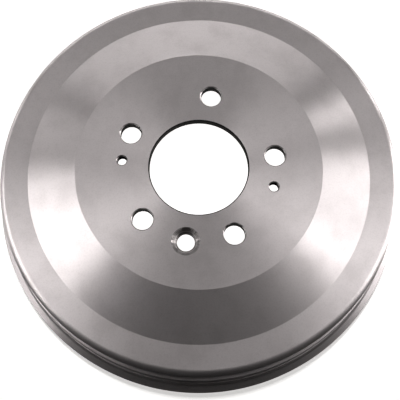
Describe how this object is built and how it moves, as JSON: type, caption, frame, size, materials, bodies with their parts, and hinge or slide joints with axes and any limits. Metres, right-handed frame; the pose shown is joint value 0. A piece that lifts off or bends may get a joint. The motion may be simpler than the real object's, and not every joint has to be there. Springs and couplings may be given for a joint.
{
  "type": "brake drum",
  "caption": "Round cast-iron brake drum with a raised wheel face, wheel stud holes, a countersunk screw hole, tapped jack holes and a stepped stiffening rim.",
  "frame": {"origin": "centre of the stud circle on the hub seat, the inner face of the end plate", "axes": "+Z along the axle's line, out towards the wheel; the first stud hole lies 9 degrees from +X towards +Y"},
  "size_m": [0.3122, 0.3122, 0.066],
  "materials": {
    "cast_iron": "grey cast iron, bright turned faces outside, cast skin inside the web"
  },
  "bodies": {
    "root": {"brake_drum": "cast_iron"}
  },
  "joints": []
}
